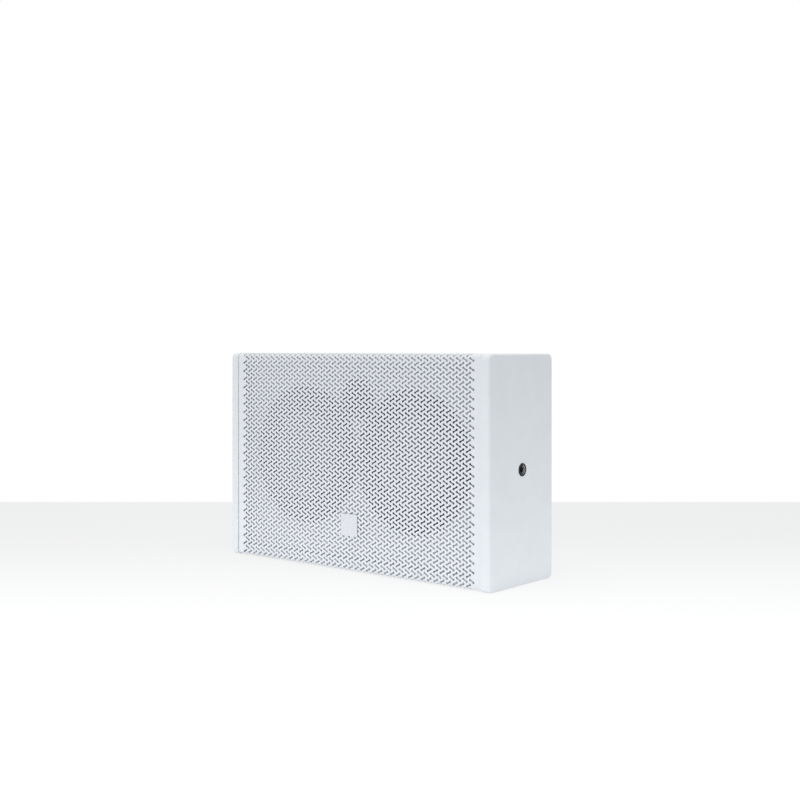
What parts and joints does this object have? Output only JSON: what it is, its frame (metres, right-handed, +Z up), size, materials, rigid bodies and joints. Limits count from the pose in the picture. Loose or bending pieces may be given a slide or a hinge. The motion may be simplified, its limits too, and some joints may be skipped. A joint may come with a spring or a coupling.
{
  "type": "passive subwoofer",
  "caption": "Slim white passive subwoofer: shallow drivers and a port behind a folded slotted steel grille, with a threaded insert in each side panel.",
  "frame": {"origin": "on the floor under the centre of the whole object's box", "axes": "+Z up, the grille faces -Y, +X to the right as seen by someone facing the grille"},
  "size_m": [0.5078, 0.155, 0.32],
  "materials": {
    "white_board": "smooth white satin paint over plywood",
    "white_steel": "white satin powder coat",
    "white_badge": "white satin paint, bare",
    "bare_plywood": "unfinished",
    "black_plastic": "matte moulded",
    "socket_plastic": "fine matte moulded",
    "black_steel": "black coat",
    "plated_steel": "zinc plated",
    "contact_metal": "plated brass",
    "lead_insulation": "soft insulation, red",
    "wadding": "loose polyester fibre",
    "rubber": "matte black",
    "black_paper": "pressed black pulp",
    "spider_cloth": "resin treated woven cloth",
    "former_film": "amber film",
    "copper_winding": "lacquered copper wire",
    "ferrite": "dark sintered ferrite",
    "fibre_board": "pressed fibre board",
    "tinsel_braid": "braided"
  },
  "bodies": {
    "cabinet": {"left_side_panel": "white_board", "right_side_panel": "white_board", "top_board": "white_board", "bottom_board": "white_board", "rear_board": "white_board", "baffle": "white_board", "brace": "bare_plywood", "grille": "white_steel", "grille_screws": "plated_steel", "badge_plate": "white_badge", "port_tube": "black_plastic", "input_plate": "black_plastic", "plate_screws": "black_steel", "input_socket": "socket_plastic", "link_socket": "socket_plastic", "socket_contacts": "contact_metal", "socket_screws": "plated_steel", "socket_jumpers": "lead_insulation", "damping_wadding": "wadding", "left_mount_insert": "plated_steel", "left_insert_ring": "black_plastic", "left_basket": "black_steel", "left_gasket": "rubber", "left_surround": "rubber", "left_spider": "spider_cloth", "left_front_plate": "plated_steel", "left_magnet": "ferrite", "left_yoke": "plated_steel", "left_terminal_board": "fibre_board", "left_terminal_tabs": "contact_metal", "left_tinsel_leads": "tinsel_braid", "left_hookup_leads": "lead_insulation", "left_driver_screws": "black_steel", "right_mount_insert": "plated_steel", "right_insert_ring": "black_plastic", "right_basket": "black_steel", "right_gasket": "rubber", "right_surround": "rubber", "right_spider": "spider_cloth", "right_front_plate": "plated_steel", "right_magnet": "ferrite", "right_yoke": "plated_steel", "right_terminal_board": "fibre_board", "right_terminal_tabs": "contact_metal", "right_tinsel_leads": "tinsel_braid", "right_hookup_leads": "lead_insulation", "right_driver_screws": "black_steel"},
    "left_diaphragm": {"left_cone": "black_paper", "left_dust_cap": "black_paper", "left_coil_former": "former_film", "left_coil_winding": "copper_winding"},
    "right_diaphragm": {"right_cone": "black_paper", "right_dust_cap": "black_paper", "right_coil_former": "former_film", "right_coil_winding": "copper_winding"}
  },
  "joints": [
    {"name": "left_cone_travel", "type": "slide", "parent": "cabinet", "child": "left_diaphragm", "axis": [0, -1, 0], "range_m": [-0.006, 0.006], "stiffness_N_per_m": 2500, "deforming": ["left_surround", "left_spider", "left_tinsel_leads"]},
    {"name": "right_cone_travel", "type": "slide", "parent": "cabinet", "child": "right_diaphragm", "axis": [0, -1, 0], "range_m": [-0.006, 0.006], "stiffness_N_per_m": 2500, "deforming": ["right_surround", "right_spider", "right_tinsel_leads"]}
  ]
}
